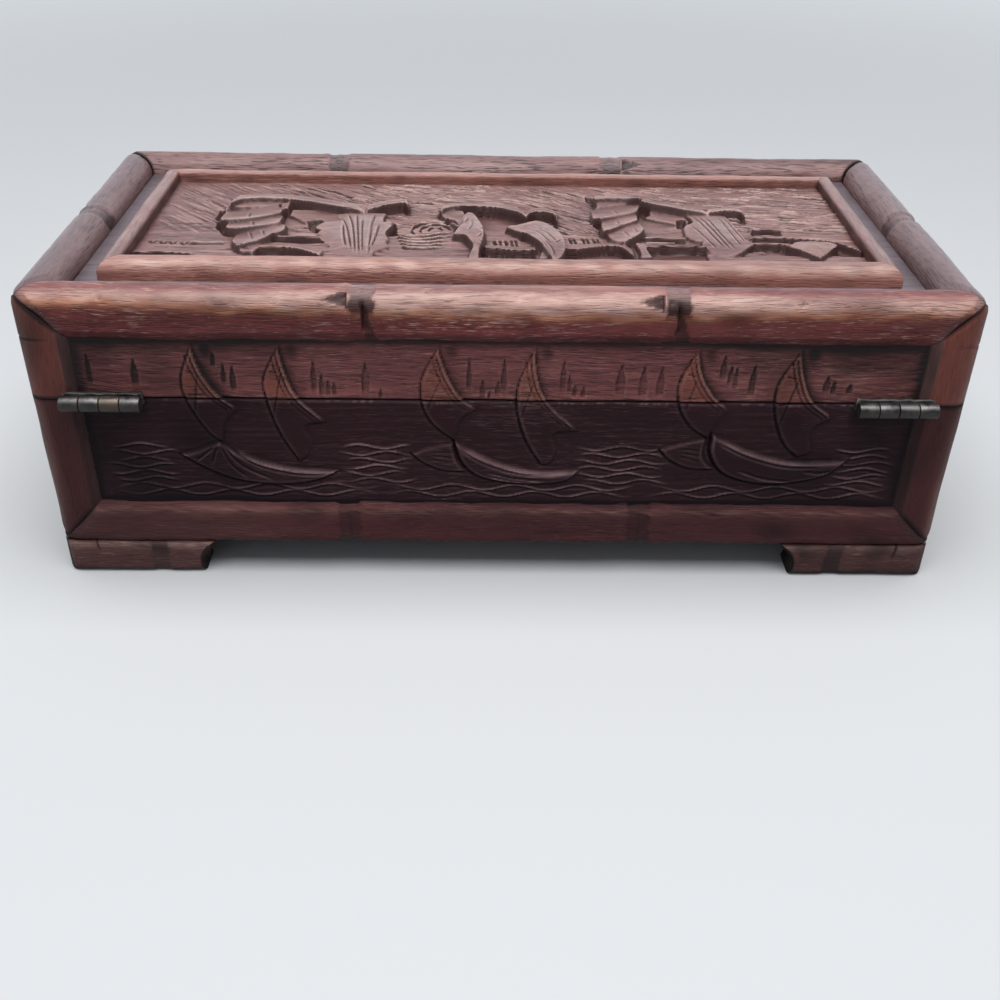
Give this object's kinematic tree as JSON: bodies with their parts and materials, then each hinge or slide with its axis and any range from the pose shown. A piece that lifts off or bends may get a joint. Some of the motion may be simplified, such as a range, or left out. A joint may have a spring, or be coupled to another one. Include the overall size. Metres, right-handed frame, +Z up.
{
  "type": "wooden treasure box",
  "caption": "Carved hardwood box with a hinged lid, a mitred bamboo-carved frame, recessed relief panels of sailing junks and low bracket feet, for keeping small things in.",
  "frame": {"origin": "on the table, under the middle of the whole part, hinge barrels included", "axes": "+X along the length to the right seen from the front, +Y towards the hinges at the rear, +Z up"},
  "size_m": [0.28, 0.139, 0.098],
  "materials": {
    "frame_wood": "worn oiled reddish-brown hardwood with open grain",
    "panel_wood": "dark stained hardwood, carved in relief",
    "board_wood": "plain planed board",
    "hinge_steel": "dull dark steel, rubbed bright on the knuckles"
  },
  "bodies": {
    "base": {"base_hinge_screws": "hinge_steel", "base_panel_front": "panel_wood", "base_panel_left": "panel_wood", "base_panel_rear": "panel_wood", "base_panel_right": "panel_wood", "base_post_front_left": "frame_wood", "base_post_front_right": "frame_wood", "base_post_rear_left": "frame_wood", "base_post_rear_right": "frame_wood", "base_rail_front": "frame_wood", "base_rail_left": "frame_wood", "base_rail_rear": "frame_wood", "base_rail_right": "frame_wood", "bottom_board": "board_wood", "foot_front_left_long": "frame_wood", "foot_front_left_short": "frame_wood", "foot_front_right_long": "frame_wood", "foot_front_right_short": "frame_wood", "foot_rear_left_long": "frame_wood", "foot_rear_left_short": "frame_wood", "foot_rear_right_long": "frame_wood", "foot_rear_right_short": "frame_wood", "hinge_left_base_leaf": "hinge_steel", "hinge_left_pin": "hinge_steel", "hinge_right_base_leaf": "hinge_steel", "hinge_right_pin": "hinge_steel"},
    "lid": {"hinge_left_lid_leaf": "hinge_steel", "hinge_right_lid_leaf": "hinge_steel", "lid_hinge_screws": "hinge_steel", "lid_mitre_brad": "hinge_steel", "lid_panel_front": "panel_wood", "lid_panel_left": "panel_wood", "lid_panel_rear": "panel_wood", "lid_panel_right": "panel_wood", "lid_post_front_left": "frame_wood", "lid_post_front_right": "frame_wood", "lid_post_rear_left": "frame_wood", "lid_post_rear_right": "frame_wood", "lid_rail_front": "frame_wood", "lid_rail_left": "frame_wood", "lid_rail_rear": "frame_wood", "lid_rail_right": "frame_wood", "lid_top_panel": "panel_wood"}
  },
  "joints": [
    {"name": "lid_hinge", "type": "hinge", "parent": "base", "child": "lid", "pos_m": [0, 0.06715, 0.06365], "axis": [-1, 0, 0], "range_deg": [0, 188]}
  ]
}
